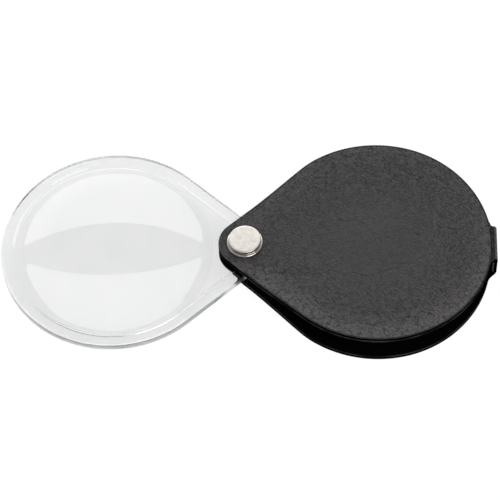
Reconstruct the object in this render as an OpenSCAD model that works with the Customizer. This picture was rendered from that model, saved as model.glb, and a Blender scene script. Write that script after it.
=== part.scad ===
// Folding pocket magnifier: a one-piece acrylic lens that turns on a riveted
// pivot, in and out of a two-cover leather case.
// The pivot axis is Z, the case points along +X, and the pivot's lower head
// rests on z = 0. Half heights are measured from the lens's middle plane.

/* [Lens] */
// Radius of the lens's round end
lens_r = 35.3; // [33:0.1:38]
// Distance from the pivot to the lens's optical centre
lens_reach = 41.2; // [38:0.1:46]
// Radius of the lens's nose, around the pivot
nose_r = 7.8; // [6.5:0.1:9]
// Width of the rim
rim_w = 4.9; // [3.5:0.1:6]
// Thickness of the rim at its crown
rim_t = 3.3; // [2.6:0.1:4.5]
// Width of the slope from the rim's crown to its outer edge
slope_w = 1.2; // [0.4:0.1:2]
// Height of that slope, each side
slope_h = 0.3; // [0.1:0.05:0.6]
// Step from the rim's crown down to the flat web, each side
web_step = 0.45; // [0.3:0.05:0.7]
// Step from the web up to the land round the optic, each side
land_step = 0.1; // [0.05:0.05:0.3]
// Radius of the optic
optic_r = 28.1; // [24:0.1:29]
// Height of the optic's front face over the land
dome_h = 2.3; // [1:0.1:3]
// Height of the optic's flatter back face over the land
back_dome_h = 0.6; // [0.3:0.1:3]
// Angle of the lens from its folded place, as drawn
lens_angle = 181; // [90:1:270]

/* [Case] */
// Width of the case's border outside the folded lens
case_border = 0.5; // [0.2:0.1:2]
// Thickness of the outer leather
leather_t = 1.0; // [0.6:0.1:1.6]
// Thickness of the stiffening boards
board_t = 0.3; // [0.2:0.1:0.8]
// Thickness of the lining under a board
lining_t = 0.5; // [0.3:0.1:1]
// Width of the glued edge that each board is set back by
board_inset = 1.2; // [0.8:0.1:3]
// Clearance between a cover and the lens's rim at the pivot
rim_clear = 0.25; // [0.15:0.05:0.6]
// Clearance between a cover and the top of the folded optic
dome_clear = 0.65; // [0.5:0.05:1.5]
// Distance from the pivot at which the covers start to part
ramp_start = 1; // [0:0.5:2]
// Distance inside the optic's edge at which the covers are fully apart
ramp_in = 8.9; // [7:0.1:10]

/* [Spine] */
// Width of the spine tab that joins the covers
tab_w = 11.6; // [8:0.2:16]
// Radius of the fillets between the tab and the covers
tab_fillet = 3; // [1.5:0.5:6]
// Clearance between the folded lens and the spine
spine_clear = 0.7; // [0.4:0.1:2]
// Drop of each cover from its flat middle to the spine
spine_drop = 0.95; // [0.3:0.05:1.4]
// Length of the cover's fall to the spine
fall_len = 26; // [18:1:30]
// Outer radius of the spine's front turn
front_turn = 1.2; // [1.1:0.1:2]
// Outer radius of the spine's back turn
back_turn = 2.4; // [1.7:0.1:3]
// Thickness of the stiffening strip inside the spine
strip_t = 0.4; // [0.2:0.1:0.6]
// Radius of the pressed groove beside the spine
groove_r = 0.6; // [0.3:0.05:0.8]
// Depth of the pressed groove
groove_d = 0.45; // [0.2:0.05:0.6]
// Distance from the spine's outer face to the groove's middle
groove_in = 1.5; // [1.2:0.1:2.5]

/* [Pivot] */
// Radius of the two heads
head_r = 5.05; // [4:0.05:6]
// Thickness of each head, with its undercut
head_t = 1.5; // [1:0.1:2.5]
// Chamfer round each head's face
head_chamfer = 0.3; // [0.1:0.05:0.5]
// Depth and height of the undercut below each head
undercut = 0.35; // [0.1:0.05:0.6]
// Radius of the plated washers
washer_r = 5.65; // [5:0.05:7]
// Thickness of the plated washers
washer_t = 0.9; // [0.5:0.1:1.5]
// Rounding of the plated washers' outer edge
washer_round = 0.3; // [0.1:0.05:0.4]
// Outer radius of the friction washers
friction_r = 4.5; // [3.5:0.1:5.5]
// Outer radius of the pivot's tube
tube_r = 2.4; // [2:0.05:3]
// Radius of the post inside the tube
post_r = 1.5; // [1:0.05:1.7]

/* [Fits] */
// Radial clearance of the lens's bore on the tube
bore_fit = 0.06; // [0.02:0.01:0.1]
// Radial clearance of the post pressed into the tube
post_fit = 0.02; // [0.01:0.01:0.05]
// Radial clearance of holes in the covers and washers on the tube
hole_fit = 0.1; // [0.05:0.05:0.3]
// Axial play between the lens and each friction washer
axial_play = 0.1; // [0.05:0.05:0.2]
// Radial clearance round a part seated in a recess
seat_fit = 0.1; // [0.05:0.05:0.3]
// Clearance at the end of the tube and of the post
end_fit = 0.3; // [0.1:0.1:0.6]

/* [Hidden] */
$fn = 144;
// The optic's wide spheres need finer steps than the small rounds.
optic_fn = 240;
// Steps along each curved stretch of the cover's profile
ramp_steps = 12;
fall_steps = 8;
turn_steps = 8;
// Extra length of a cut past the faces that it leaves through
past = 1;
// Depth by which outlines that would only touch cross each other
sink = 0.02;

// Lens heights
web_t = rim_t - 2 * web_step;
land_t = web_t + 2 * land_step;
optic_top = land_t / 2 + dome_h;
optic_bottom = land_t / 2 + back_dome_h;
lens_end = lens_reach + lens_r;

// Cover heights over the lens's middle plane
cover_t = leather_t + board_t + lining_t;
pivot_gap = rim_t / 2 + rim_clear;
middle_gap = max(optic_top, optic_bottom) + dome_clear;
pivot_h = pivot_gap + cover_t;
middle_h = middle_gap + cover_t;
spine_h = middle_h - spine_drop;
block_h = 2 * (middle_h + past);
friction_t = pivot_gap - web_t / 2 - axial_play;

// Case outline
case_r = lens_r + case_border;
case_nose_r = nose_r + case_border;
strip_x = lens_end + spine_clear;
leather_x = strip_x + strip_t;
spine_x = leather_x + leather_t;
ramp_end = lens_reach - optic_r + ramp_in;
fall_end = spine_x - back_turn;
fall_start = fall_end - fall_len;

// Height of the lens's middle plane over the surface
mid_z = pivot_h + washer_t + head_t;

// Height gained by the covers at x, from 0 at the pivot to 1 where they are fully apart
function ramp(x) =
    x <= ramp_start ? 0 :
    x >= ramp_end ? 1 :
    (1 - cos(180 * (x - ramp_start) / (ramp_end - ramp_start))) / 2;

// Height lost by the covers at x, from 0 in the middle to 1 at the spine
function fall(x) = x <= fall_start ? 0 : pow((x - fall_start) / fall_len, 2);

// Half gap between the linings at x
function half_gap(x) =
    pivot_gap + (middle_gap - pivot_gap) * ramp(x) - spine_drop * fall(x);

// Places along X where the profile of a cover changes slope
stations = concat(
    [-case_nose_r - past],
    [for (i = [0 : ramp_steps]) ramp_start + (ramp_end - ramp_start) * i / ramp_steps],
    [for (i = [0 : fall_steps]) fall_start + fall_len * i / fall_steps]
);
last = len(stations) - 1;

// Half angle of the straight sides of a teardrop
function side_angle(big_r, small_r, reach) = asin((big_r - small_r) / reach);

// Block between the straight sides of a teardrop, centred in height, that
// reaches into the small end no further than its centre
module between_sides(big_r, small_r, reach, height) {
    a = side_angle(big_r, small_r, reach);
    upper = [-sin(a), cos(a)];
    lower = [-sin(a), -cos(a)];
    linear_extrude(height = height, center = true) polygon([
        (small_r - sink) * upper,
        [reach, 0] + (big_r - sink) * upper,
        [reach, 0] + (big_r - sink) * lower,
        (small_r - sink) * lower,
        [0, 0],
    ]);
}

// Teardrop block, centred in height, with its small end on the pivot and its
// round end at x = reach
module teardrop(big_r, small_r, reach, height) {
    translate([reach, 0, 0]) cylinder(r = big_r, h = height, center = true);
    cylinder(r = small_r, h = height, center = true);
    between_sides(big_r, small_r, reach, height);
}

// Block with the plan of a cover, set back from the edge by inset
module cover_block(inset = 0) {
    teardrop(case_r - inset, case_nose_r - inset, lens_reach, block_h);
}

// Block with the plan of the outer leather: a cover with its spine tab, which
// meets the round end in concave fillets
module leather_block() {
    out = case_r + tab_fillet - sink;
    fillet_y = tab_w / 2 + tab_fillet;
    fillet_x = sqrt(out * out - fillet_y * fillet_y);
    meet_y = fillet_y * case_r / out;
    cover_block();
    translate([lens_reach, 0, 0]) difference() {
        translate([0, -meet_y, -block_h / 2])
            cube([spine_x - lens_reach, 2 * meet_y, block_h]);
        for (side = [-1, 1])
            translate([fillet_x, side * fillet_y, 0])
                cylinder(r = tab_fillet, h = block_h + past, center = true);
    }
}

// Side profile of a layer of the upper cover, from low to high over the half gap
module layer_profile(low, high) {
    polygon(concat(
        [for (x = stations) [x, half_gap(x) + low]],
        [for (i = [last : -1 : 0]) [stations[i], half_gap(stations[i]) + high]]
    ));
}

// Points of a quarter turn round centre, from angle a to angle b
function turn(centre, r, a, b) = [
    for (i = [0 : turn_steps])
        let (t = a + (b - a) * i / turn_steps) centre + r * [cos(t), sin(t)]
];

// Side profile of the whole leather strip, round the spine
module wrap_profile() {
    front = [spine_x - front_turn, spine_h - front_turn];
    back = [spine_x - back_turn, back_turn - spine_h];
    outer = [for (x = stations) half_gap(x) + cover_t];
    inner = [for (h = outer) h - leather_t];
    polygon(concat(
        [for (i = [0 : last]) [stations[i], outer[i]]],
        turn(front, front_turn, 90, 0),
        turn(back, back_turn, 0, -90),
        [for (i = [last - 1 : -1 : 0]) [stations[i], -outer[i]]],
        [for (i = [0 : last - 1]) [stations[i], -inner[i]]],
        turn(back, back_turn - leather_t, -90, 0),
        turn(front, front_turn - leather_t, 0, 90),
        [for (i = [last : -1 : 0]) [stations[i], inner[i]]]
    ));
}

// Stands a side profile, drawn in X and Z, up across the whole case
module across() {
    rotate([90, 0, 0])
        linear_extrude(height = 2 * (case_r + past), center = true)
            children();
}

// A layer of the upper cover, cut to a plan
module cover_layer(low, high, inset = 0) {
    intersection() {
        cover_block(inset);
        across() layer_profile(low, high);
    }
}

// Lifts a piece drawn about the lens's middle plane to its height over the surface
module at_mid() {
    translate([0, 0, mid_z]) children();
}

// Round hole along the pivot
module pivot_hole(r) {
    cylinder(r = r, h = 2 * (mid_z + past), center = true);
}

// Disc at the rim's thickness, with a slope round both faces
module rim_disc(r) {
    rotate_extrude() polygon([
        [0, -rim_t / 2],
        [r - slope_w, -rim_t / 2],
        [r, slope_h - rim_t / 2],
        [r, rim_t / 2 - slope_h],
        [r - slope_w, rim_t / 2],
        [0, rim_t / 2],
    ]);
}

// Cut for the slope along one straight side of the rim's upper face
module side_slope() {
    rotate([0, 0, side_angle(lens_r, nose_r, lens_reach)])
        translate([-past, nose_r - sink - slope_w, rim_t / 2])
            rotate([-atan(slope_h / slope_w), 0, 0])
                translate([0, -past, 0])
                    cube([lens_reach + past, 2 * slope_w + past, rim_t]);
}

// Outline of the whole lens at the rim's thickness
module rim_block() {
    translate([lens_reach, 0, 0]) rim_disc(lens_r);
    rim_disc(nose_r);
    difference() {
        between_sides(lens_r, nose_r, lens_reach, rim_t);
        for (side = [0, 1], face = [0, 1])
            mirror([0, side, 0]) mirror([0, 0, face]) side_slope();
    }
}

// Cuts on both faces, from height z up
module both_faces(z) {
    for (side = [0, 1])
        mirror([0, 0, side])
            translate([0, 0, z + block_h / 2])
                children();
}

// Ball whose top lies at z and gives the optic a face of height h
module dome_ball(h, z) {
    r = (optic_r * optic_r + h * h) / (2 * h);
    translate([0, 0, z - r]) sphere(r = r, $fn = optic_fn);
}

// Lens as one moulding, drawn in its folded place about its middle plane
module lens_shape() {
    difference() {
        union() {
            difference() {
                rim_block();
                both_faces(web_t / 2)
                    teardrop(lens_r - rim_w, nose_r - rim_w, lens_reach, block_h);
            }
            translate([lens_reach, 0, 0])
                cylinder(r = lens_r - rim_w + sink, h = land_t, center = true);
            translate([lens_reach, 0, 0]) intersection() {
                dome_ball(dome_h, optic_top);
                mirror([0, 0, 1]) dome_ball(back_dome_h, optic_bottom);
                cylinder(r = optic_r, h = block_h, center = true);
            }
        }
        pivot_hole(tube_r + bore_fit);
        both_faces(web_t / 2)
            cylinder(r = friction_r + seat_fit, h = block_h, center = true);
    }
}

// Flat head with a chamfered face and an undercut, from z = 0 up to its face
module head() {
    rotate_extrude() polygon([
        [0, 0],
        [head_r - undercut, 0],
        [head_r - undercut, undercut],
        [head_r, undercut],
        [head_r, head_t - head_chamfer],
        [head_r - head_chamfer, head_t],
        [0, head_t],
    ]);
}

// Plated washer with a rounded upper edge, from z = 0 up
module plated_washer() {
    difference() {
        rotate_extrude() {
            square([washer_r - washer_round, washer_t]);
            square([washer_r, washer_t - washer_round]);
            translate([washer_r - washer_round, washer_t - washer_round])
                circle(r = washer_round);
        }
        pivot_hole(tube_r + hole_fit);
    }
}

// Thin washer between a lining and the lens
module friction_washer() {
    difference() {
        cylinder(r = friction_r, h = friction_t);
        pivot_hole(tube_r + hole_fit);
    }
}

// Stiffening board of the upper cover
module board() {
    difference() {
        cover_layer(lining_t, lining_t + board_t, board_inset);
        pivot_hole(friction_r);
    }
}

// Lining of the upper cover, with a pocket for the board
module lining() {
    difference() {
        cover_layer(0, lining_t + board_t);
        board();
        pivot_hole(tube_r + hole_fit);
    }
}

// The sub-parts

module lens() {
    color("lightcyan", 0.5)
        at_mid() rotate([0, 0, lens_angle]) lens_shape();
}

module leather_wrap() {
    color("dimgray") at_mid() difference() {
        intersection() {
            leather_block();
            across() wrap_profile();
        }
        pivot_hole(tube_r + hole_fit);
        both_faces(pivot_h)
            cylinder(r = washer_r + seat_fit, h = block_h, center = true);
        translate([spine_x - groove_in, 0, spine_h + groove_r - groove_d])
            rotate([90, 0, 0])
                cylinder(r = groove_r, h = 2 * case_r, center = true);
    }
}

module front_board() {
    color("saddlebrown") at_mid() board();
}

module back_board() {
    color("saddlebrown") at_mid() mirror([0, 0, 1]) board();
}

module front_lining() {
    color("darkslategray") at_mid() lining();
}

module back_lining() {
    color("darkslategray") at_mid() mirror([0, 0, 1]) lining();
}

module spine_strip() {
    low = back_turn - spine_h;
    high = spine_h - front_turn;
    color("saddlebrown") at_mid()
        translate([strip_x, -tab_w / 2, low])
            cube([strip_t, tab_w, high - low]);
}

module pivot_cap() {
    color("silver") at_mid() {
        translate([0, 0, pivot_h + washer_t]) head();
        difference() {
            translate([0, 0, end_fit - pivot_h - washer_t])
                cylinder(r = tube_r, h = 2 * (pivot_h + washer_t) - end_fit);
            translate([0, 0, -pivot_h - washer_t])
                cylinder(r = post_r + post_fit, h = 2 * (pivot_h + washer_t) - end_fit);
        }
    }
}

module pivot_post() {
    color("silver") at_mid() {
        translate([0, 0, -pivot_h - washer_t]) {
            mirror([0, 0, 1]) head();
            cylinder(r = post_r, h = 2 * (pivot_h + washer_t) - 2 * end_fit);
        }
    }
}

module front_washer() {
    color("gainsboro") at_mid() translate([0, 0, pivot_h]) plated_washer();
}

module back_washer() {
    color("gainsboro") at_mid() mirror([0, 0, 1])
        translate([0, 0, pivot_h]) plated_washer();
}

module front_friction_washer() {
    color("ivory") at_mid()
        translate([0, 0, web_t / 2 + axial_play]) friction_washer();
}

module back_friction_washer() {
    color("ivory") at_mid() mirror([0, 0, 1])
        translate([0, 0, web_t / 2 + axial_play]) friction_washer();
}

lens();
leather_wrap();
front_board();
back_board();
front_lining();
back_lining();
spine_strip();
pivot_cap();
pivot_post();
front_washer();
back_washer();
front_friction_washer();
back_friction_washer();
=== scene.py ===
"""Folding pocket magnifier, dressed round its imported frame.

Every piece is modelled in metres in the frame's own axes: the rivet's axis is Z,
the case points along +X and the open lens along -X. Heights that are the same
above and below the lens's middle plane are written from that plane.
"""

import math

import bmesh
import bpy
from bpy.props import (
    FloatProperty,
    FloatVectorProperty,
    IntProperty,
    PointerProperty,
    StringProperty,
)
from mathutils import Matrix, Vector


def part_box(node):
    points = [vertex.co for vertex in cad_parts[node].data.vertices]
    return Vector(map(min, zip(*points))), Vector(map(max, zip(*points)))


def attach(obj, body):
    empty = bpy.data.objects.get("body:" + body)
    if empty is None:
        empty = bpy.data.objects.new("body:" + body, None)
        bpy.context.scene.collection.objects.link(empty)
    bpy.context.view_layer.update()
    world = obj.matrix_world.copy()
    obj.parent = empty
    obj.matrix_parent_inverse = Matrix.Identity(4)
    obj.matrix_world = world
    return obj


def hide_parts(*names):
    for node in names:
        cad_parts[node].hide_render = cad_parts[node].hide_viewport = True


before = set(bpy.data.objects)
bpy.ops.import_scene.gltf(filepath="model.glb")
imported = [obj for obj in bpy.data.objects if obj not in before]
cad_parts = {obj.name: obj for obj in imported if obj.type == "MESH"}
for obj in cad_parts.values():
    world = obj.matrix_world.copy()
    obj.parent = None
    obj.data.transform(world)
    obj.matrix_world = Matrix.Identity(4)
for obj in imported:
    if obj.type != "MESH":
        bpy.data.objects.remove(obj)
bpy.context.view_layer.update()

bl_info = {
    "name": "Folding Pocket Magnifier",
    "version": (1, 0, 0),
    "blender": (4, 5, 0),
    "location": "View3D > Sidebar > Magnifier",
    "description": "Clear folding lens on a nickel rivet in a black leather case",
    "category": "Object",
}

MM = 0.001
# Lengths that differ by less are the same, and points that lie nearer are merged
SAME = MM / 1000
MERGE = MM / 500
# Room round a bound, for picking points by their place
ROOM = MM / 100
# Middle plane of the lens and of the case
MID_Z = sum(corner.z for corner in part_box("leather_wrap")) / 2


def size(name, description, default):
    """A length property, written in millimetres."""
    return FloatProperty(
        name=name,
        description=description,
        default=default * MM,
        min=0,
        precision=5,
        subtype="DISTANCE",
        unit="LENGTH",
    )


def spot(name, description, *default):
    """A place, written as X, Y and Z in millimetres."""
    return FloatVectorProperty(
        name=name,
        description=description,
        default=[value * MM for value in default],
        precision=5,
        subtype="TRANSLATION",
        unit="LENGTH",
    )


def tint(name, description, default):
    """A colour property, written as an sRGB hex value."""
    return StringProperty(name=name, description=description, default=default)


def turn(name, description, default):
    """An angle property, written in degrees."""
    return FloatProperty(
        name=name,
        description=description,
        default=math.radians(default),
        subtype="ANGLE",
        unit="ROTATION",
    )


def share(name, description, default, most=1.0):
    """A plain number from 0 to most."""
    return FloatProperty(name=name, description=description, default=default, min=0, max=most)


def count(name, description, default):
    """A number of steps along a stretch."""
    return IntProperty(name=name, description=description, default=default, min=1)


class LensSizes(bpy.types.PropertyGroup):
    big_r: size("Round end", "Radius of the round end", 35.3)
    nose_r: size("Nose", "Radius of the nose, around the rivet", 7.8)
    reach: size("Reach", "Distance from the rivet to the optic's middle", 41.2)
    rim_w: size("Rim width", "Width of the rim, outside its inner ring", 4.1)
    edge_r: size("Edge", "Rounding of the rim's outer edge", 0.8)
    rim_step: size("Rim step", "Step from the land up to the rim", 0.35)
    front_slope: size("Front slope", "Width of the sloped step on the front", 0.6)
    back_slope: size("Back slope", "Width of the sloped step on the back", 0.1)
    rim_fall: turn("Rim fall", "Slope of the rim's faces at its outer edge", 1)
    land_half: size("Land height", "Height of the flat land round the optic", 1.3)
    web_half: size("Web height", "Height of the flat web at the neck", 1.2)
    optic_r: size("Optic", "Radius of the optic", 28.1)
    front_dome: size("Front dome", "Height of the optic's front face over the land", 2.3)
    back_dome: size("Back dome", "Height of the optic's flatter back face over the land", 0.6)
    angle: turn("Angle", "Angle of the open lens from its folded place", 181)
    bore_r: size("Bore", "Radius of the bore", 2.46)
    seat_r: size("Seat", "Radius of the flat seat round the bore", 4.6)
    seat_drop: size("Seat drop", "Depth of the seats below the web", 0.01)
    ground: share("Ground faces", "Most that a ground face's normal points upwards", 0.35)
    dome_steps: count("Dome steps", "Steps from a dome's middle to its edge", 40)
    rim_steps: count("Rim steps", "Steps across the rim's face", 4)
    edge_steps: count("Edge steps", "Steps round the rim's outer edge", 12)
    round_steps: count("Round steps", "Steps round half of the round end", 80)
    neck_steps: count("Neck steps", "Steps round the neck's half of the optic", 30)
    nose_steps: count("Nose steps", "Steps round half of the nose", 24)


class CaseSizes(bpy.types.PropertyGroup):
    big_r: size("Round end", "Radius of a cover's round end", 35.8)
    nose_r: size("Nose", "Radius of a cover's nose", 8.3)
    leather_t: size("Leather", "Thickness of the outer leather", 1.0)
    pivot_h: size("Height at the rivet", "Height of the leather at the rivet", 3.7)
    middle_h: size("Height in the middle", "Height of the leather over the folded lens", 6.05)
    spine_h: size("Height at the spine", "Height of the leather at the spine", 5.1)
    ramp_start: size("Ramp start", "Place where the covers start to part", 1.0)
    ramp_end: size("Ramp end", "Place where the covers are fully apart", 22.0)
    fall_end: size("Fall end", "Place where the covers reach the spine's height", 76.2)
    fall_len: size("Fall", "Length of the fall to the spine", 26.0)
    spine_x: size("Spine", "Place of the spine's outer face", 78.6)
    front_turn: size("Front turn", "Outer radius of the spine's front turn", 1.2)
    back_turn: size("Back turn", "Outer radius of the spine's back turn", 2.4)
    tab_w: size("Tab width", "Width of the spine tab", 11.6)
    fillet: size("Tab fillet", "Radius of the fillets beside the tab", 3.0)
    hole_r: size("Hole", "Radius of the holes for the rivet", 2.5)
    recess_r: size("Recess", "Radius of the recess for a washer", 5.72)
    edge_r: size("Edge", "Rounding of the leather's cut edges", 0.22)
    groove_r: size("Groove", "Radius of the pressed groove beside the spine", 0.6)
    groove_d: size("Groove depth", "Depth of the pressed groove", 0.6)
    groove_in: size("Groove place", "Distance of the groove from the spine's outer face", 1.5)
    nose_start: turn("Nose start", "Place on the nose's arc where the leather starts", 178)
    nose_steps: count("Nose steps", "Steps round half of the nose", 14)
    side_steps: count("Side steps", "Steps along a straight side", 18)
    round_steps: count("Round steps", "Steps round half of the round end", 60)
    fillet_steps: count("Fillet steps", "Steps round a fillet beside the tab", 24)
    turn_steps: count("Turn steps", "Steps round a turn of the spine", 16)
    across_cuts: count("Cuts across", "Cuts across a cover's width", 23)
    edge_steps: count("Edge steps", "Steps round a cut edge", 3)


class RivetSizes(bpy.types.PropertyGroup):
    head_r: size("Head", "Radius of the heads", 5.05)
    head_t: size("Head thickness", "Thickness of a head with its undercut", 1.5)
    edge_r: size("Head edge", "Rounding of a head's face", 0.3)
    undercut: size("Undercut", "Depth and height of the undercut", 0.35)
    washer_r: size("Washer", "Radius of the plated washers", 5.65)
    washer_t: size("Washer thickness", "Thickness of the plated washers", 0.9)
    washer_edge: size("Washer edge", "Rounding of the plated washers", 0.3)
    tube_r: size("Tube", "Outer radius of the tube", 2.4)
    post_r: size("Post", "Radius of the post in the tube", 1.5)
    post_fit: size("Post fit", "Clearance round the post", 0.02)
    hole_fit: size("Hole fit", "Clearance round the tube", 0.1)
    play: size("End play", "Clearance at the ends of tube and post", 0.3)
    turn_steps: count("Turn steps", "Steps round a turned piece", 128)
    edge_steps: count("Edge steps", "Steps round a rounded edge", 4)


class Colours(bpy.types.PropertyGroup):
    # The leather's low colour is the painted shade in its creases, groove and edge; its high colour
    # is reached near the edge, where the highlight is painted
    leather_low: tint("Leather, low", "Colour of the leather's creases", "#141414")
    leather_high: tint("Leather, high", "Colour of the leather's worn grain", "#676465")
    edge_low: tint("Edge, low", "Darker colour of the leather's cut edge", "#020202")
    edge_high: tint("Edge, high", "Lighter colour of the leather's cut edge", "#060606")
    lining_low: tint("Lining, low", "Darker colour of the lining's nap", "#040404")
    lining_high: tint("Lining, high", "Lighter colour of the lining's nap", "#0a0a0a")
    lining_edge_low: tint("Lining edge, low", "Darker colour of its cut edge", "#1c1b1b")
    lining_edge_high: tint("Lining edge, high", "Lighter colour of its cut edge", "#3e3d3c")
    board_low: tint("Board, low", "Darker colour of the fibre board", "#2e2c2a")
    board_high: tint("Board, high", "Lighter colour of the fibre board", "#42403d")
    nickel_low: tint("Nickel, low", "Darker clouds of the brushed nickel", "#d0cbc5")
    nickel_high: tint("Nickel, high", "Lighter clouds of the brushed nickel", "#e2ddd7")
    washer_low: tint("Washer, low", "Darker turning marks of the washers", "#d2cdc6")
    washer_high: tint("Washer, high", "Lighter turning marks of the washers", "#e2ded8")
    nylon_low: tint("Nylon, low", "Darker haze of the nylon", "#dedbd2")
    nylon_high: tint("Nylon, high", "Lighter haze of the nylon", "#efede6")
    acrylic_low: tint("Acrylic, low", "Darker haze of the clear acrylic", "#fbfcfc")
    acrylic_high: tint("Acrylic, high", "Lighter haze of the clear acrylic", "#fefefe")
    # The ground edge's grey tint is painted shade that outlines the lens
    ground_shade_low: tint("Ground edge, low", "Darker haze of the acrylic's ground edge", "#b2b4b5")
    ground_shade_high: tint("Ground edge, high", "Lighter haze of the acrylic's ground edge", "#c2c4c5")
    paper: tint("Paper", "Colour of the white surface", "#f4f4f4")


class StageSizes(bpy.types.PropertyGroup):
    distance: size("Distance", "Distance of the camera from its target", 800.0)
    azimuth: turn("Azimuth", "Direction of the camera round the object", -87.16)
    elevation: turn("Elevation", "Height of the camera over the surface", 57.73)
    roll: turn("Roll", "Turn of the camera round its own axis", -1.99)
    focal: FloatProperty(name="Focal length", description="In mm, on a 36 mm sensor", default=182.5)
    target: spot("Target", "Point that the camera looks at", 1.364, 2.616, 1.591)
    box_low: turn("Back box bottom", "Height of the back soft box's lower edge", 18)
    box_high: turn("Back box top", "Height of the back soft box's upper edge", 51.75)
    box_turn: turn("Back box turn", "Direction of the back soft box, from +Y towards +X", -8.1)
    box_side: turn("Back box width", "Half of the back soft box's width", 34)
    box_bow: share("Back box bow", "Rise of its upper edge to the sides, per square radian", 0.2235)
    box_light: share("Back box light", "Brightness of the back soft box against white", 2.6, 100)
    front: spot("Front box", "Place of the front soft box", 320.0, -400.0, 600.0)
    front_w: size("Front box width", "Width of the front soft box", 500.0)
    front_power: share("Front box power", "Power of the front soft box, in W", 2.4, 100)
    left: spot("Left panel", "Place of the left panel", -600.0, 100.0, 150.0)
    left_w: size("Left panel width", "Width of the left panel", 800.0)
    left_h: size("Left panel height", "Height of the left panel", 300.0)
    left_power: share("Left panel power", "Power of the left panel, in W", 0.6, 100)
    ambient: share("Ambient", "Strength of the light from above", 0.4, 10)
    horizon: share("Horizon", "Strength of the light from the horizon", 0.15, 10)
    paper_w: size("Paper", "Width of the white surface", 3000.0)


# Modelling in edit mode


def side_turn(big_r, nose_r, reach):
    """Angle at which the straight side of a teardrop meets its two round ends."""
    return 90 + math.degrees(math.asin((big_r - nose_r) / reach))


def start_point(name, at):
    """Starts a piece as one vertex, and leaves it in edit mode."""
    bpy.ops.object.select_all(action="DESELECT")
    bpy.ops.mesh.primitive_plane_add(size=MM, location=at)
    bpy.ops.object.transform_apply(location=True)
    piece = bpy.context.object
    piece.name = name
    piece.data.name = name
    bpy.ops.object.mode_set(mode="EDIT")
    bpy.ops.mesh.select_mode(type="VERT")
    bpy.ops.mesh.select_all(action="SELECT")
    bpy.ops.mesh.merge(type="CENTER")
    return piece


def push(x=0.0, y=0.0, z=0.0):
    """Extrudes what is selected by a step."""
    bpy.ops.mesh.extrude_region_move(TRANSFORM_OT_translate={"value": (x, y, z)})


def sweep(centre, axis, degrees, steps):
    """Spins what is selected, anticlockwise as seen with the axis pointing at the viewer."""
    bpy.ops.mesh.spin(steps=steps, angle=-math.radians(degrees), center=centre, axis=axis)


def pick(kind, test):
    """Selects only those verts, edges or faces that pass a test."""
    bpy.ops.mesh.select_all(action="DESELECT")
    bpy.ops.mesh.select_mode(type=kind.upper()[:-1])
    mesh = bmesh.from_edit_mesh(bpy.context.object.data)
    for item in getattr(mesh, kind):
        if test(item):
            item.select_set(True)
    mesh.select_flush_mode()
    bmesh.update_edit_mesh(bpy.context.object.data)


def near(value, wanted):
    """Whether two lengths are the same, to a thousandth of a millimetre."""
    return abs(value - wanted) < SAME


def weld():
    """Merges doubles all over and turns every face outwards."""
    bpy.ops.mesh.select_all(action="SELECT")
    bpy.ops.mesh.remove_doubles(threshold=MERGE)
    bpy.ops.mesh.normals_make_consistent(inside=False)


def leave():
    """Leaves edit mode."""
    bpy.ops.object.mode_set(mode="OBJECT")


def modify(piece, kind, **settings):
    """Adds a modifier to a piece and applies it."""
    bpy.ops.object.select_all(action="DESELECT")
    piece.select_set(True)
    bpy.context.view_layer.objects.active = piece
    modifier = piece.modifiers.new(kind.title(), kind)
    for key, value in settings.items():
        setattr(modifier, key, value)
    bpy.ops.object.modifier_apply(modifier=modifier.name)


def cut_disc(piece, radius, low, high, sides=96):
    """Takes a disc on the rivet's axis, between two heights, out of a piece."""
    bpy.ops.object.select_all(action="DESELECT")
    bpy.ops.mesh.primitive_cylinder_add(
        vertices=sides, radius=radius, depth=high - low, location=(0, 0, (low + high) / 2)
    )
    cutter = bpy.context.object
    modify(piece, "BOOLEAN", object=cutter, operation="DIFFERENCE", solver="EXACT")
    bpy.data.objects.remove(cutter)


def lathe(name, corners, steps):
    """Spins a profile of radii and heights about the rivet's axis into a closed piece."""
    piece = start_point(name, (corners[0][0], 0, corners[0][1]))
    for here, there in zip(corners, corners[1:]):
        push(x=there[0] - here[0], z=there[1] - here[1])
    bpy.ops.mesh.select_all(action="SELECT")
    sweep((0, 0, 0), (0, 0, 1), 360, steps)
    weld()
    return piece


def round_ring(radius, height, width, steps):
    """Rounds the ring edge of a turned piece at one radius and height."""

    def on_ring(edge):
        return all(near(v.co.xy.length, radius) and near(v.co.z, height) for v in edge.verts)

    pick("edges", on_ring)
    bpy.ops.mesh.bevel(offset=width, offset_type="OFFSET", segments=steps, affect="EDGES")


def finish_piece(piece, body, node, slot, *materials, sharp_over):
    """Shades a piece, gives it its materials, hangs it on its body and hides the imported part that
    it stands in for.

    Edges that turn by more than sharp_over degrees stay sharp.
    """
    bpy.ops.object.select_all(action="DESELECT")
    piece.select_set(True)
    bpy.context.view_layer.objects.active = piece
    bpy.ops.object.shade_smooth_by_angle(angle=math.radians(sharp_over))
    for material in materials:
        piece.data.materials.append(material)
    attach(piece, body)
    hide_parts(node)


# Materials


def linear(hex_value):
    """An sRGB hex value as a linear colour with alpha."""
    channels = [int(hex_value[i : i + 2], 16) / 255 for i in (1, 3, 5)]
    return [c / 12.92 if c <= 0.04045 else ((c + 0.055) / 1.055) ** 2.4 for c in channels] + [1.0]


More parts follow.
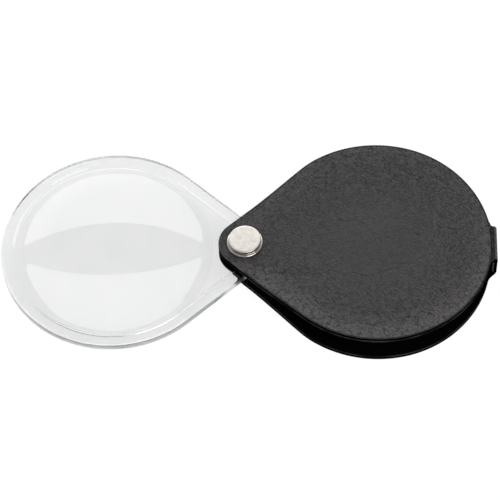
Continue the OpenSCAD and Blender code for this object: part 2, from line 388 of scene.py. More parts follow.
def add(tree, kind, settings=None, stops=(), **inputs):
    """Adds a node with its settings, its inputs and, on a colour ramp, its two stops.

    An input is named, with _ for a space, or numbered as in i0. It is a value, a socket,
    or a node whose first output is taken.
    """
    node = tree.nodes.new("ShaderNode" + kind)
    for key, value in (settings or {}).items():
        setattr(node, key, value)
    for element, stop in zip(node.color_ramp.elements if stops else (), stops):
        element.position = stop[0]
        element.color = linear(stop[1])
    for key, value in inputs.items():
        numbered = key[0] == "i" and key[1:].isdigit()
        socket = node.inputs[int(key[1:]) if numbered else key.replace("_", " ")]
        if isinstance(value, bpy.types.Node):
            value = value.outputs[0]
        if isinstance(value, bpy.types.NodeSocket):
            tree.links.new(value, socket)
        else:
            socket.default_value = value
    return node


def new_material(name):
    """An empty material, with its node tree and a node for its coordinates."""
    material = bpy.data.materials.new(name)
    material.use_nodes = True
    tree = material.node_tree
    tree.nodes.clear()
    return material, tree, add(tree, "TexCoord")


# Settings that come often
TIMES = {"operation": "MULTIPLY"}
TIMES_PLUS = {"operation": "MULTIPLY_ADD"}
MINUS = {"operation": "SUBTRACT"}
UNSIGNED = {"operation": "ABSOLUTE"}
DOT = {"operation": "DOT_PRODUCT"}
OVER = {"operation": "GREATER_THAN"}
UNDER = {"operation": "LESS_THAN"}
LARGEST = {"operation": "MAXIMUM"}
HEADING = {"operation": "ARCTAN2"}
SMOOTH = {"interpolation_type": "SMOOTHSTEP"}


def past_outline(tree, place, case, reach):
    """Distance past the case's teardrop outline, below 0 inside it."""
    side = math.radians(side_turn(case.big_r, case.nose_r, reach))
    half = add(tree, "VectorMath", TIMES, i0=place, i1=(1, 1, 0))
    half = add(tree, "VectorMath", UNSIGNED, i0=half)
    from_middle = add(tree, "VectorMath", MINUS, i0=half, i1=(reach, 0, 0))
    radius = add(tree, "VectorMath", {"operation": "LENGTH"}, i0=from_middle).outputs["Value"]
    out = add(tree, "VectorMath", DOT, i0=half, i1=(math.cos(side), math.sin(side), 0))
    along = add(tree, "VectorMath", DOT, i0=from_middle, i1=(math.sin(side), -math.cos(side), 0))
    in_round = add(tree, "Math", OVER, i0=along.outputs["Value"], i1=0.0)
    past_round = add(tree, "Math", MINUS, i0=radius, i1=case.big_r)
    past_side = add(tree, "Math", MINUS, i0=out.outputs["Value"], i1=case.nose_r)
    return add(tree, "Mix", Factor=in_round, i2=past_side, i3=past_round)


def grain(tree, place):
    """Raised cells of a hide's grain, the broken lines between them, and its pores."""
    # Cells of 1.6 mm by 0.75 mm, out of line and turned a little to the case
    drift = add(tree, "TexNoise", Vector=place, Scale=1 / (3 * MM), Detail=1.0)
    pull = add(
        tree, "VectorMath", {"operation": "SCALE"}, Vector=drift.outputs["Color"], Scale=1.5 * MM
    )
    hide = add(tree, "VectorMath", i0=place, i1=pull)
    turned = add(
        tree,
        "Mapping",
        {"vector_type": "TEXTURE"},
        Vector=hide,
        Rotation=(0, 0, math.radians(-30)),
        Scale=(1.6 * MM, 0.75 * MM, MM),
    )
    cells = add(tree, "TexVoronoi", {"feature": "DISTANCE_TO_EDGE"}, Vector=turned, Scale=1.0)
    pebble = add(tree, "MapRange", SMOOTH, Value=cells, From_Max=0.3)
    # The lines between them are broken every millimetre or so
    line = add(tree, "MapRange", Value=cells, From_Max=0.17, To_Min=1.0, To_Max=0.0)
    broken = add(tree, "TexNoise", Vector=place, Scale=1 / (1.3 * MM), Detail=1.0)
    shown = add(tree, "MapRange", Value=broken, From_Min=0.35, From_Max=0.6)
    dash = add(tree, "Math", TIMES, i0=line, i1=shown)
    pores = add(tree, "TexNoise", Vector=hide, Scale=1 / (0.35 * MM), Detail=2.0)
    return pebble, dash, pores


def grained_leather(colours, case, reach):
    """Black chrome-tanned cowhide: a fine natural grain with creases, under a satin finish."""
    material, tree, at = new_material("Grained leather")
    place = at.outputs["Object"]
    past = past_outline(tree, place, case, reach)
    pebble, dash, pores = grain(tree, place)

    # The grain is pressed flat in the middle and open towards the edge
    open_grain = add(
        tree, "MapRange", SMOOTH, Value=past, From_Min=-30 * MM, From_Max=-6 * MM, To_Min=0.5
    )
    # Painted highlight: the leather is painted lighter near the edge, most of all towards -Y
    rim = add(tree, "MapRange", SMOOTH, Value=past, From_Min=-10 * MM, From_Max=0.0)
    sides = add(tree, "SeparateXYZ", Vector=place)
    highlight_towards_minus_y = add(
        tree, "MapRange", Value=sides.outputs["Y"], From_Min=12 * MM, From_Max=-20 * MM, To_Min=0.25
    )
    painted_edge_highlight = add(tree, "Math", TIMES, i0=rim, i1=highlight_towards_minus_y)
    # Patches that took up more or less dye, about 18 mm wide
    patches = add(tree, "TexNoise", Vector=place, Scale=1 / (18 * MM), Detail=1.0)

    # A few long creases run along the case, 16 mm apart, and come and go
    wave = add(
        tree,
        "TexWave",
        {"bands_direction": "Y"},
        Vector=place,
        Scale=math.pi / 10 / (16 * MM),
        Distortion=7.0,
        Detail=3.0,
        Detail_Scale=2.0,
    )
    fold = add(
        tree, "MapRange", Value=wave.outputs["Fac"], From_Min=0.998, From_Max=0.9995, To_Max=0.5
    )
    bent = add(tree, "MapRange", Value=patches, From_Min=0.48, From_Max=0.54)
    crease = add(tree, "Math", TIMES, i0=fold, i1=bent)

    # Height of the grain: cells, pores, and cuts that run into it
    cuts = add(tree, "Math", TIMES_PLUS, i0=dash, i1=open_grain, i2=crease)
    height = pebble
    for part, weight in ((pores, 0.8), (cuts, -0.6)):
        height = add(tree, "Math", TIMES_PLUS, i0=part, i1=weight, i2=height)
    height = add(tree, "Math", TIMES, i0=height, i1=open_grain)
    bump = add(tree, "Bump", Strength=0.8, Distance=0.15 * MM, Height=height)

    # Tone from the creases' colour at 0 to the lightest grain at 1, which the painted highlight
    # near the edge reaches; the cuts keep a tenth of it, as painted shade in the creases
    tone = 0.06
    for part, weight in ((patches, 0.14), (open_grain, 0.17), (pores, 0.1), (painted_edge_highlight, 0.36)):
        tone = add(tree, "Math", TIMES_PLUS, i0=part, i1=weight, i2=tone)
    crease_painted_shade = add(tree, "Math", TIMES_PLUS, i0=cuts, i1=-0.9, i2=1.0)
    tone = add(tree, "Math", TIMES, i0=tone, i1=crease_painted_shade)

    # The pressed groove is painted darker, as shade in its recess, and so is a band of the covers
    # at the cut edge, partly as edge dye and partly as painted shade where the edge rounds away
    groove_x = case.spine_x - case.groove_in
    aside = add(tree, "Math", MINUS, i0=sides.outputs["X"], i1=groove_x)
    aside = add(tree, "Math", UNSIGNED, i0=aside)
    pressed = add(
        tree,
        "MapRange",
        Value=aside,
        From_Min=0.4 * case.groove_r,
        From_Max=1.2 * case.groove_r,
        To_Min=0.6,
        To_Max=0.0,
    )
    edge = add(
        tree, "MapRange", Value=past, From_Min=-case.edge_r - 0.4 * MM, From_Max=-case.edge_r
    )
    cover = add(tree, "Math", UNDER, i0=sides.outputs["X"], i1=groove_x - case.groove_r)
    dyed = add(tree, "Math", TIMES, i0=edge, i1=cover)
    painted_shade_and_edge_dye = add(tree, "Math", LARGEST, i0=pressed, i1=dyed)
    tone = add(tree, "Math", MINUS, i0=tone, i1=painted_shade_and_edge_dye)
    stops = ((0.0, colours.leather_low), (1.0, colours.leather_high))
    shade = add(tree, "ValToRGB", stops=stops, Fac=tone)
    shader = add(
        tree,
        "BsdfPrincipled",
        Base_Color=shade,
        Roughness=0.5,
        Specular_IOR_Level=0.35,
        Normal=bump,
    )
    add(tree, "OutputMaterial", Surface=shader)
    return material


def cut_edge(colours):
    """Cut edge of the leather, dyed black: loose fibres that swallow nearly all light."""
    material, tree, at = new_material("Dyed leather edge")
    fibres = add(tree, "TexNoise", Vector=at.outputs["Object"], Scale=1 / (0.3 * MM), Detail=3.0)
    stops = ((0.3, colours.edge_low), (0.7, colours.edge_high))
    shade = add(tree, "ValToRGB", stops=stops, Fac=fibres)
    bump = add(tree, "Bump", Strength=0.3, Distance=0.05 * MM, Height=fibres)
    shader = add(
        tree, "BsdfPrincipled", Base_Color=shade, Roughness=0.6, Specular_IOR_Level=0.0, Normal=bump
    )
    add(tree, "OutputMaterial", Surface=shader)
    return material


def suede_lining(colours):
    """Black split leather: a short nap on its face, and a paler cut edge, partly its own fibres and
    partly a painted highlight.
    """
    material, tree, at = new_material("Split leather lining")
    nap = add(
        tree,
        "TexNoise",
        Vector=at.outputs["Object"],
        Scale=1 / (0.4 * MM),
        Detail=5.0,
        Roughness=0.7,
    )
    stops = ((0.3, colours.lining_low), (0.7, colours.lining_high))
    face = add(tree, "ValToRGB", stops=stops, Fac=nap)
    # Its cut edge is paler, partly as its own fibres and partly as a painted highlight, and took up
    # the dye unevenly
    dye = add(tree, "TexNoise", Vector=at.outputs["Object"], Scale=1 / (9 * MM), Detail=2.0)
    stops = ((0.4, colours.lining_edge_low), (0.6, colours.lining_edge_high))
    fibres = add(tree, "ValToRGB", stops=stops, Fac=dye)
    facing = add(tree, "SeparateXYZ", Vector=at.outputs["Normal"])
    upright = add(tree, "Math", UNSIGNED, i0=facing.outputs["Z"])
    cut = add(tree, "Math", UNDER, i0=upright, i1=0.5)
    shade = add(tree, "MixRGB", Fac=cut, Color1=face, Color2=fibres)
    bump = add(tree, "Bump", Strength=0.5, Distance=0.08 * MM, Height=nap)
    shader = add(
        tree, "BsdfPrincipled", Base_Color=shade, Roughness=0.9, Specular_IOR_Level=0.0, Normal=bump
    )
    add(tree, "OutputMaterial", Surface=shader)
    return material


def fibre_board(colours):
    """Bonded leather fibre board, dyed black: pressed fibres, dull and slightly mottled."""
    material, tree, at = new_material("Fibre board")
    fibres = add(
        tree,
        "TexNoise",
        Vector=at.outputs["Object"],
        Scale=1 / (0.8 * MM),
        Detail=6.0,
        Distortion=1.0,
    )
    stops = ((0.3, colours.board_low), (0.7, colours.board_high))
    shade = add(tree, "ValToRGB", stops=stops, Fac=fibres)
    bump = add(tree, "Bump", Strength=0.3, Distance=0.05 * MM, Height=fibres)
    shader = add(tree, "BsdfPrincipled", Base_Color=shade, Roughness=0.85, Normal=bump)
    add(tree, "OutputMaterial", Surface=shader)
    return material


def brushed_nickel(colours):
    """Nickel plate over turned brass: brushed across its flat faces, bright on its turned sides."""
    material, tree, at = new_material("Brushed nickel")
    place = at.outputs["Object"]
    # Scratches run along Y and are drawn 0.15 mm wide, where real ones are finer
    lengthened = add(tree, "Mapping", Vector=place, Scale=(1.0, 0.06, 1.0))
    scratches = add(tree, "TexNoise", Vector=lengthened, Scale=1 / (0.3 * MM), Detail=4.0)
    clouds = add(tree, "TexNoise", Vector=place, Scale=1 / (1.5 * MM), Detail=4.0)
    stops = ((0.35, colours.nickel_low), (0.65, colours.nickel_high))
    shade = add(tree, "ValToRGB", stops=stops, Fac=clouds)
    facing = add(tree, "SeparateXYZ", Vector=at.outputs["Normal"])
    upright = add(tree, "Math", UNSIGNED, i0=facing.outputs["Z"])
    brushed = add(tree, "MapRange", Value=upright, From_Min=0.3, From_Max=0.9, To_Min=0.3)
    rough = add(tree, "MapRange", Value=scratches, To_Min=0.28, To_Max=0.5)
    bump = add(tree, "Bump", Strength=0.12, Distance=0.02 * MM, Height=scratches)
    shader = add(
        tree,
        "BsdfPrincipled",
        Base_Color=shade,
        Metallic=1.0,
        Roughness=add(tree, "Math", TIMES, i0=rough, i1=brushed),
        Normal=bump,
    )
    add(tree, "OutputMaterial", Surface=shader)
    return material


def bright_nickel(colours):
    """Nickel plate on the washers: barrel polished, with faint turning marks 0.9 mm apart."""
    material, tree, at = new_material("Polished nickel")
    marks = add(
        tree,
        "TexWave",
        {"wave_type": "RINGS", "rings_direction": "Z"},
        Vector=at.outputs["Object"],
        Scale=1 / (3 * MM),
        Distortion=2.0,
    )
    rough = add(tree, "MapRange", Value=marks.outputs["Fac"], To_Min=0.08, To_Max=0.16)
    stops = ((0.2, colours.washer_low), (0.8, colours.washer_high))
    shade = add(tree, "ValToRGB", stops=stops, Fac=marks.outputs["Fac"])
    shader = add(tree, "BsdfPrincipled", Base_Color=shade, Metallic=1.0, Roughness=rough)
    add(tree, "OutputMaterial", Surface=shader)
    return material


def nylon(colours):
    """Natural nylon, die cut: milky, with a soft satin face."""
    material, tree, at = new_material("Nylon")
    haze = add(tree, "TexNoise", Vector=at.outputs["Object"], Scale=1 / (1.2 * MM), Detail=2.0)
    stops = ((0.3, colours.nylon_low), (0.7, colours.nylon_high))
    shade = add(tree, "ValToRGB", stops=stops, Fac=haze)
    shader = add(
        tree,
        "BsdfPrincipled",
        Base_Color=shade,
        Roughness=0.45,
        Subsurface_Weight=0.2,
        Subsurface_Scale=MM,
    )
    add(tree, "OutputMaterial", Surface=shader)
    return material


def acrylic(name, roughness, low, high):
    """Acrylic whose clear body varies a little between two tints."""
    material, tree, at = new_material(name)
    haze = add(tree, "TexNoise", Vector=at.outputs["Object"], Scale=1 / (9 * MM), Detail=3.0)
    shader = add(
        tree,
        "BsdfPrincipled",
        Base_Color=add(tree, "ValToRGB", stops=((0.4, low), (0.6, high)), Fac=haze),
        Roughness=roughness,
        IOR=1.49,
        Transmission_Weight=1.0,
    )
    add(tree, "OutputMaterial", Surface=shader)
    return material


def clear_acrylic(colours):
    """Injection moulded acrylic with polished faces: clear, with a faint haze from handling."""
    return acrylic("Clear acrylic", 0.0, colours.acrylic_low, colours.acrylic_high)


def ground_acrylic_with_shade(colours):
    """Acrylic edge with the mould's parting line ground off: frosted, and tinted grey as painted
    shade, so it outlines the lens.
    """
    return acrylic("Ground acrylic edge", 0.3, colours.ground_shade_low, colours.ground_shade_high)


def white_paper(colours):
    """Matt white paper, overexposed as the camera sees it and plain white through the lens."""
    material, tree, _ = new_material("White paper")
    sheet = add(tree, "BsdfDiffuse", Color=linear(colours.paper))
    path = add(tree, "LightPath")
    camera = path.outputs["Is Camera Ray"]
    bare = add(tree, "Math", LARGEST, i0=camera, i1=path.outputs["Is Glossy Ray"])
    # Rays through the lens are glossy too, and see less of the paper's own light
    seen_bare = 0.85
    seen_through = 0.57
    glowing = add(tree, "Math", TIMES, i0=bare, i1=seen_bare)
    glowing = add(
        tree,
        "Math",
        TIMES_PLUS,
        i0=path.outputs["Is Transmission Ray"],
        i1=seen_through - seen_bare,
        i2=glowing,
    )
    glow = add(tree, "Emission", Color=(1, 1, 1, 1), Strength=1.1)
    mixed = add(tree, "MixShader", i0=glowing, i1=sheet, i2=glow)
    add(tree, "OutputMaterial", Surface=mixed)
    return material


# The pieces


class MAGNIFIER_OT_lens(bpy.types.Operator):
    """Models the lens as one clear moulding"""

    bl_idname = "magnifier.lens"
    bl_label = "Lens"

    def quarter(self, lens, name, dome, slope_w):
        """Upper quarter of the folded lens about its middle plane, for Y over 0."""
        across = (0, 1, 0)
        up = (0, 0, 1)
        optic = Vector((lens.reach, 0, 0))
        side = side_turn(lens.big_r, lens.nose_r, lens.reach)
        outward = Vector((math.cos(math.radians(side)), math.sin(math.radians(side)), 0))
        ring_r = lens.big_r - lens.rim_w
        inner_r = lens.nose_r - lens.rim_w
        dome_r = (lens.optic_r**2 + dome**2) / (2 * dome)
        dome_turn = math.degrees(math.asin(lens.optic_r / dome_r))
        # The rim's face is a faint arc that runs into the rounding of the outer edge
        rim_r = lens.edge_r + (lens.rim_w - slope_w - lens.edge_r) / math.sin(lens.rim_fall)
        rim_z = lens.land_half + lens.rim_step - rim_r

        # Section from the optic's middle out to the rim's wall
        top = optic + Vector((0, 0, lens.land_half + dome))
        piece = start_point(name, top)
        fall = math.degrees(lens.rim_fall)
        sweep(top - Vector((0, 0, dome_r)), across, dome_turn, lens.dome_steps)
        push(x=ring_r - lens.optic_r)
        push(x=slope_w, z=lens.rim_step)
        sweep(optic + Vector((ring_r + slope_w, 0, rim_z)), across, fall, lens.rim_steps)
        corner_z = rim_z + (rim_r - lens.edge_r) * math.cos(lens.rim_fall)
        corner_x = lens.reach + lens.big_r - lens.edge_r
        sweep((corner_x, 0, corner_z), across, 90 - fall, lens.edge_steps)
        push(z=-corner_z)

        # Half of the round end, and the optic's and the land's half of the neck
        bpy.ops.mesh.select_all(action="SELECT")
        sweep(optic, up, side, lens.round_steps)
        end_point = optic + ring_r * outward

        def at_side(vert, low, high):
            flat = (vert.co - optic) * Vector((1, 1, 0))
            along = flat.dot(outward)
            return near(flat.length, along) and low - ROOM < along < high + ROOM

        pick("verts", lambda vert: at_side(vert, 0, ring_r))
        sweep(optic, up, 180 - side, lens.neck_steps)

        # The rim goes on along the straight side and round the nose
        pick("verts", lambda vert: at_side(vert, ring_r, lens.big_r))
        push(*(inner_r * outward - end_point))
        sweep((0, 0, 0), up, 180 - side, lens.nose_steps)
        weld()

        # The web closes the neck, a step below the land
        def round_web(vert):
            x, y, z = vert.co
            on_rim = near(vert.co.dot(outward), inner_r) or near(math.hypot(x, y), inner_r)
            on_land = near(math.hypot(x - lens.reach, y), ring_r) and x < end_point.x + ROOM
            return near(z, lens.land_half) and (on_rim or on_land)

        pick("edges", lambda edge: all(round_web(vert) for vert in edge.verts))
        push(z=lens.web_half - lens.land_half)
        bpy.ops.mesh.edge_face_add()
        leave()
        return piece

    def execute(self, context):
        lens = context.scene.magnifier.lens
        colours = context.scene.magnifier.colours
        back = self.quarter(lens, "lens_back", lens.back_dome, lens.back_slope)
        back.data.transform(Matrix.Diagonal((1, 1, -1, 1)))
        piece = self.quarter(lens, "lens_moulding", lens.front_dome, lens.front_slope)
        back.select_set(True)
        bpy.ops.object.join()
        bpy.ops.object.mode_set(mode="EDIT")
        weld()
        leave()
        modify(piece, "MIRROR", use_axis=(False, True, False), merge_threshold=MERGE)

        # The bore and the flat seats round it
        floor = lens.web_half - lens.seat_drop
        cut_disc(piece, lens.bore_r, -2 * lens.web_half, 2 * lens.web_half)
        cut_disc(piece, lens.seat_r, floor, 3 * floor)
        cut_disc(piece, lens.seat_r, -3 * floor, -floor)
        opened = Matrix.Rotation(lens.angle, 4, "Z")
        piece.data.transform(Matrix.Translation((0, 0, MID_Z)) @ opened)
        materials = clear_acrylic(colours), ground_acrylic_with_shade(colours)
        finish_piece(piece, "lens", "lens", "acrylic", *materials, sharp_over=8)
        bpy.ops.object.mode_set(mode="EDIT")
        # The walls get the ground edge, whose grey tint is painted shade
        pick("faces", lambda face: abs(face.normal.z) < lens.ground)
        piece.active_material_index = 1
        bpy.ops.object.material_slot_assign()
        leave()
        return {"FINISHED"}


class MAGNIFIER_OT_case(bpy.types.Operator):
    """Models the leather that makes both covers and the spine"""

    bl_idname = "magnifier.case"
    bl_label = "Leather case"

    def height(self, case, x):
        """Height of the leather over the middle plane at x."""
        rise = min(max((x - case.ramp_start) / (case.ramp_end - case.ramp_start), 0), 1)
        drop = max((x - case.fall_end) / case.fall_len + 1, 0) ** 2
        lifted = (case.middle_h - case.pivot_h) * (1 - math.cos(math.pi * rise)) / 2
        return case.pivot_h + lifted - (case.middle_h - case.spine_h) * min(drop, 1)

    def groove(self, case, x):
        """Depth of the pressed groove at x."""
        aside = x - case.spine_x + case.groove_in
        deep = math.sqrt(max(case.groove_r**2 - aside**2, 0))
        return max(deep - case.groove_r + case.groove_d, 0)

    def fillet_centre(self, case, reach):
        """Centre of the fillet between a cover's round end and the tab."""
        y = case.tab_w / 2 + case.fillet
        return reach + math.sqrt((case.big_r + case.fillet) ** 2 - y**2), y

    def outline(self, case, reach):
        """Places and half widths of the case from its nose to the spine's outer face."""
        side = math.radians(side_turn(case.big_r, case.nose_r, reach))
        fillet = self.fillet_centre(case, reach)
        meet = math.asin(fillet[1] / (case.big_r + case.fillet))
        end = math.acos((case.spine_x - fillet[0]) / case.fillet)

        def arc(centre, r, a, b, steps):
            turns = [a + (b - a) * i / steps for i in range(steps)]
            return [(centre[0] + r * math.cos(t), centre[1] + r * math.sin(t)) for t in turns]

        nose_end = Vector((math.cos(side), math.sin(side))) * case.nose_r
        round_start = Vector((reach, 0)) + nose_end * (case.big_r / case.nose_r)
        steps = case.side_steps
        places = arc((0, 0), case.nose_r, case.nose_start, side, case.nose_steps)
        places += [tuple(nose_end.lerp(round_start, i / steps)) for i in range(steps)]
        places += arc((reach, 0), case.big_r, side, meet, case.round_steps)
        places += arc(fillet, case.fillet, math.pi + meet, 2 * math.pi - end, case.fillet_steps)
        return places

    def execute(self, context):
        case = context.scene.magnifier.case
        reach = context.scene.magnifier.lens.reach
        places = self.outline(case, reach)
        front_x = case.spine_x - case.front_turn
        back_x = case.spine_x - case.back_turn
        front = [(x, y, self.height(case, x)) for x, y in places if x < front_x]
        back = [(x, y, -self.height(case, x)) for x, y in places if x < back_x]

        # The spine's turns are quarter circles as wide as the tab
        fillet_x, fillet_y = self.fillet_centre(case, reach)

        def tab_y(x):
            return fillet_y - math.sqrt(case.fillet**2 - (fillet_x - x) ** 2)

        def quarter(x, z, r, start):
            steps = case.turn_steps
            turns = [math.radians(start - 90 * i / steps) for i in range(steps + 1)]
            spots = [(x + r * math.cos(t), z + r * math.sin(t)) for t in turns]
            return [(px, tab_y(px), pz) for px, pz in spots]

        path = front + quarter(front_x, case.spine_h - case.front_turn, case.front_turn, 90)
        path = [(x, y, z - self.groove(case, x)) for x, y, z in path]
        path += quarter(back_x, case.back_turn - case.spine_h, case.back_turn, 0)
        path += back[::-1]

        # A line across the nose is drawn along the path, and takes its width at each step
        x, y, z = path[0]
        piece = start_point("leather_case", (x, -y, z))
        push(y=2 * y)
        bpy.ops.mesh.select_all(action="SELECT")
        bpy.ops.mesh.subdivide(number_cuts=case.across_cuts)
        for here, there in zip(path, path[1:]):
            push(x=there[0] - here[0], z=there[2] - here[2])
            bpy.ops.transform.resize(value=(1, there[1] / here[1], 1), center_override=(0, 0, 0))
        weld()
        leave()
        colours = context.scene.magnifier.colours
        piece.data.materials.append(grained_leather(colours, case, reach))
        piece.data.materials.append(cut_edge(colours))
        modify(
            piece,
            "SOLIDIFY",
            thickness=case.leather_t,
            offset=-1,
            use_even_offset=True,
            material_offset=1,
            material_offset_rim=1,
        )
        modify(
            piece,
            "BEVEL",
            width=case.edge_r,
            segments=case.edge_steps,
            limit_method="ANGLE",
            angle_limit=math.radians(60),
            material=1,
        )
        piece.data.transform(Matrix.Translation((0, 0, MID_Z)))
        cut_disc(piece, case.hole_r, 0, 2 * MID_Z)
        cut_disc(piece, case.recess_r, MID_Z + case.pivot_h, 2 * MID_Z)
        cut_disc(piece, case.recess_r, 0, MID_Z - case.pivot_h)
        finish_piece(piece, "case", "leather_wrap", "case_leather", sharp_over=35)
        return {"FINISHED"}


class MAGNIFIER_OT_rivet(bpy.types.Operator):
    """Models the rivet's two parts and the plated washers under its heads"""

    bl_idname = "magnifier.rivet"
    bl_label = "Rivet"

    def execute(self, context):
        rivet = context.scene.magnifier.rivet
        metal = brushed_nickel(context.scene.magnifier.colours)
        plate = bright_nickel(context.scene.magnifier.colours)

        # Heights of the upper washer's faces, of its head and of the lower washer's outer face
        seat = MID_Z + context.scene.magnifier.case.pivot_h
        under = seat + rivet.washer_t
        top = under + rivet.head_t
        rest = 2 * MID_Z - under
        neck_r = rivet.head_r - rivet.undercut
        hole_end = under - rivet.play
        hole_r = rivet.post_r + rivet.post_fit

        cap = lathe(
            "rivet_cap",
            [
                (0, top),
                (rivet.head_r - 2 * rivet.edge_r, top),
                (rivet.head_r, top),
                (rivet.head_r, under + rivet.undercut),
                (neck_r, under + rivet.undercut),
                (neck_r, under),
                (rivet.tube_r, under),
                (rivet.tube_r, rest + rivet.play),
                (hole_r, rest + rivet.play),
                (hole_r, hole_end),
                (0, hole_end),
            ],
            rivet.turn_steps,
        )
        round_ring(rivet.head_r, top, rivet.edge_r, rivet.edge_steps)
        leave()
        finish_piece(cap, "case", "pivot_cap", "nickel_plate", metal, sharp_over=30)

        post = lathe(
            "rivet_post",
            [
                (0, hole_end - rivet.play),
                (rivet.post_r, hole_end - rivet.play),
                (rivet.post_r, rest),
                (neck_r, rest),
                (neck_r, rest - rivet.undercut),
                (rivet.head_r, rest - rivet.undercut),
                (rivet.head_r, 0),
                (rivet.head_r - 2 * rivet.edge_r, 0),
                (0, 0),
            ],
            rivet.turn_steps,
        )
        round_ring(rivet.head_r, 0, rivet.edge_r, rivet.edge_steps)
        leave()
        finish_piece(post, "case", "pivot_post", "nickel_plate", metal, sharp_over=30)

        bore = rivet.tube_r + rivet.hole_fit
        for name, node, low in (
            ("upper_washer", "front_washer", seat),
            ("lower_washer", "back_washer", rest),
        ):
            high = low + rivet.washer_t
            rim = rivet.washer_r
            corners = [(bore, low), (rim, low), (rim, high), (bore, high), (bore, low)]
            washer = lathe(name, corners, rivet.turn_steps)
            outer = high if low == seat else low
            round_ring(rim, outer, rivet.washer_edge, rivet.edge_steps)
            leave()
            finish_piece(washer, "case", node, "washer_plate", plate, sharp_over=30)
        return {"FINISHED"}


class MAGNIFIER_OT_inner(bpy.types.Operator):
    """Gives the pieces inside the case their materials"""

    bl_idname = "magnifier.inner"
    bl_label = "Linings, boards and washers"

    def execute(self, context):
        colours = context.scene.magnifier.colours
        lining = suede_lining(colours)
        board = fibre_board(colours)
        plastic = nylon(colours)
        for node, material in (
            ("front_lining", lining),
            ("back_lining", lining),
            ("front_board", board),
            ("back_board", board),
            ("spine_strip", board),
            ("front_friction_washer", plastic),
            ("back_friction_washer", plastic),
        ):
            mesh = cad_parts[node].data
            mesh.materials.clear()
            mesh.materials.append(material)
        return {"FINISHED"}


def aim(way):
    """Turn that points a camera or a lamp along a way, with its top upwards."""
    return way.to_track_quat("-Z", "Y")


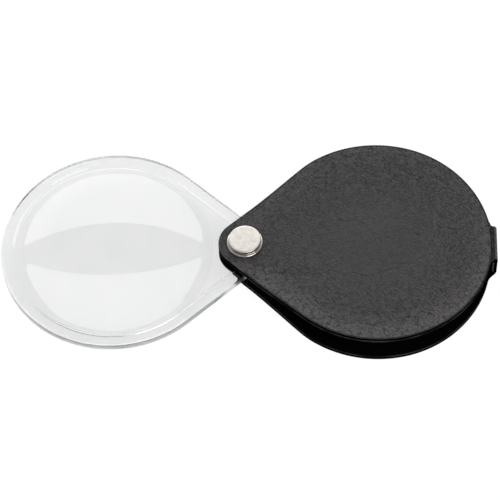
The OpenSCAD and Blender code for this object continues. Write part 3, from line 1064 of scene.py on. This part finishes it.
class MAGNIFIER_OT_stage(bpy.types.Operator):
    """Sets up the white surface, the lamps and the camera"""

    bl_idname = "magnifier.stage"
    bl_label = "Stage"

    def lamp(self, scene, name, place, width, height, power):
        """Adds a rectangular soft box that faces the rivet."""
        light = bpy.data.lights.new(name, "AREA")
        light.shape = "RECTANGLE"
        light.size = width
        light.size_y = height
        light.energy = power
        holder = bpy.data.objects.new(name, light)
        scene.collection.objects.link(holder)
        holder.location = place
        holder.rotation_euler = aim(-place).to_euler()

    def studio(self, stage):
        """World of a dim room, with a bright back soft box whose upper edge is bowed."""
        world = bpy.data.worlds.new("Studio")
        world.use_nodes = True
        tree = world.node_tree
        tree.nodes.clear()

        # Direction of a ray as an angle over the surface and one aside from the box's middle
        way = add(tree, "SeparateXYZ", Vector=add(tree, "TexCoord").outputs["Generated"])
        x, y, z = (way.outputs[axis] for axis in "XYZ")
        height = add(tree, "Math", HEADING, i0=z, i1=y)
        aside = add(tree, "Math", HEADING, i0=x, i1=y)
        aside = add(tree, "Math", MINUS, i0=aside, i1=stage.box_turn)
        aside = add(tree, "Math", UNSIGNED, i0=aside)

        # The box's light is added to the room's between its edges
        bow = add(tree, "Math", TIMES, i0=aside, i1=aside)
        bow = add(tree, "Math", TIMES, i0=bow, i1=stage.box_bow)
        unbowed = add(tree, "Math", MINUS, i0=height, i1=bow)
        inside = add(tree, "Math", OVER, i0=height, i1=stage.box_low)
        for angle, most in ((unbowed, stage.box_high), (aside, stage.box_side)):
            within = add(tree, "Math", UNDER, i0=angle, i1=most)
            inside = add(tree, "Math", TIMES, i0=inside, i1=within)
        room = add(tree, "MapRange", Value=z, To_Min=stage.horizon, To_Max=stage.ambient)
        glow = add(tree, "Math", TIMES_PLUS, i0=inside, i1=stage.box_light, i2=room)
        lit = add(tree, "Background", Color=(1, 1, 1, 1), Strength=glow)
        seen = add(tree, "Background", Color=(1, 1, 1, 1), Strength=1.0)
        camera = add(tree, "LightPath").outputs["Is Camera Ray"]
        add(tree, "OutputWorld", Surface=add(tree, "MixShader", i0=camera, i1=lit, i2=seen))
        return world

    def execute(self, context):
        scene = context.scene
        stage = scene.magnifier.stage
        bpy.ops.object.select_all(action="DESELECT")
        bpy.ops.mesh.primitive_plane_add(size=stage.paper_w)
        floor = context.object
        floor.name = "paper"
        floor.data.materials.append(white_paper(scene.magnifier.colours))

        flat = math.cos(stage.elevation)
        way = Vector((
            math.cos(stage.azimuth) * flat,
            math.sin(stage.azimuth) * flat,
            math.sin(stage.elevation),
        ))
        place = stage.target + way * stage.distance
        camera = bpy.data.objects.new("camera", bpy.data.cameras.new("camera"))
        scene.collection.objects.link(camera)
        camera.data.lens = stage.focal
        camera.location = place
        turned = aim(stage.target - place).to_matrix() @ Matrix.Rotation(stage.roll, 3, "Z")
        camera.rotation_euler = turned.to_euler()
        scene.camera = camera

        front = (stage.front, stage.front_w, stage.front_w, stage.front_power)
        self.lamp(scene, "front soft box", *front)
        left = (stage.left, stage.left_w, stage.left_h, stage.left_power)
        self.lamp(scene, "left panel", *left)
        scene.world = self.studio(stage)

        # The rim guides light through many reflections inside the plastic
        scene.cycles.max_bounces = 24
        scene.cycles.glossy_bounces = 16
        scene.cycles.transmission_bounces = 16
        scene.view_settings.view_transform = "Standard"
        return {"FINISHED"}


class MagnifierSettings(bpy.types.PropertyGroup):
    lens: PointerProperty(type=LensSizes)
    case: PointerProperty(type=CaseSizes)
    rivet: PointerProperty(type=RivetSizes)
    colours: PointerProperty(type=Colours)
    stage: PointerProperty(type=StageSizes)


OPERATORS = (
    MAGNIFIER_OT_lens,
    MAGNIFIER_OT_case,
    MAGNIFIER_OT_rivet,
    MAGNIFIER_OT_inner,
    MAGNIFIER_OT_stage,
)


class MAGNIFIER_PT_panel(bpy.types.Panel):
    """Lists the magnifier's pieces and its stage"""

    bl_idname = "MAGNIFIER_PT_panel"
    bl_label = "Folding Pocket Magnifier"
    bl_space_type = "VIEW_3D"
    bl_region_type = "UI"
    bl_category = "Magnifier"

    def draw(self, context):
        for operator in OPERATORS:
            self.layout.operator(operator.bl_idname)


CLASSES = (
    LensSizes,
    CaseSizes,
    RivetSizes,
    Colours,
    StageSizes,
    MagnifierSettings,
    *OPERATORS,
    MAGNIFIER_PT_panel,
)


def register():
    """Registers the classes and the scene's settings."""
    for item in CLASSES:
        bpy.utils.register_class(item)
    bpy.types.Scene.magnifier = PointerProperty(type=MagnifierSettings)


def unregister():
    """Removes the scene's settings and the classes."""
    del bpy.types.Scene.magnifier
    for item in reversed(CLASSES):
        bpy.utils.unregister_class(item)


def main():
    """Builds every piece and the stage."""
    register()
    bpy.ops.magnifier.lens()
    bpy.ops.magnifier.case()
    bpy.ops.magnifier.rivet()
    bpy.ops.magnifier.inner()
    bpy.ops.magnifier.stage()


if __name__ == "__main__":
    main()
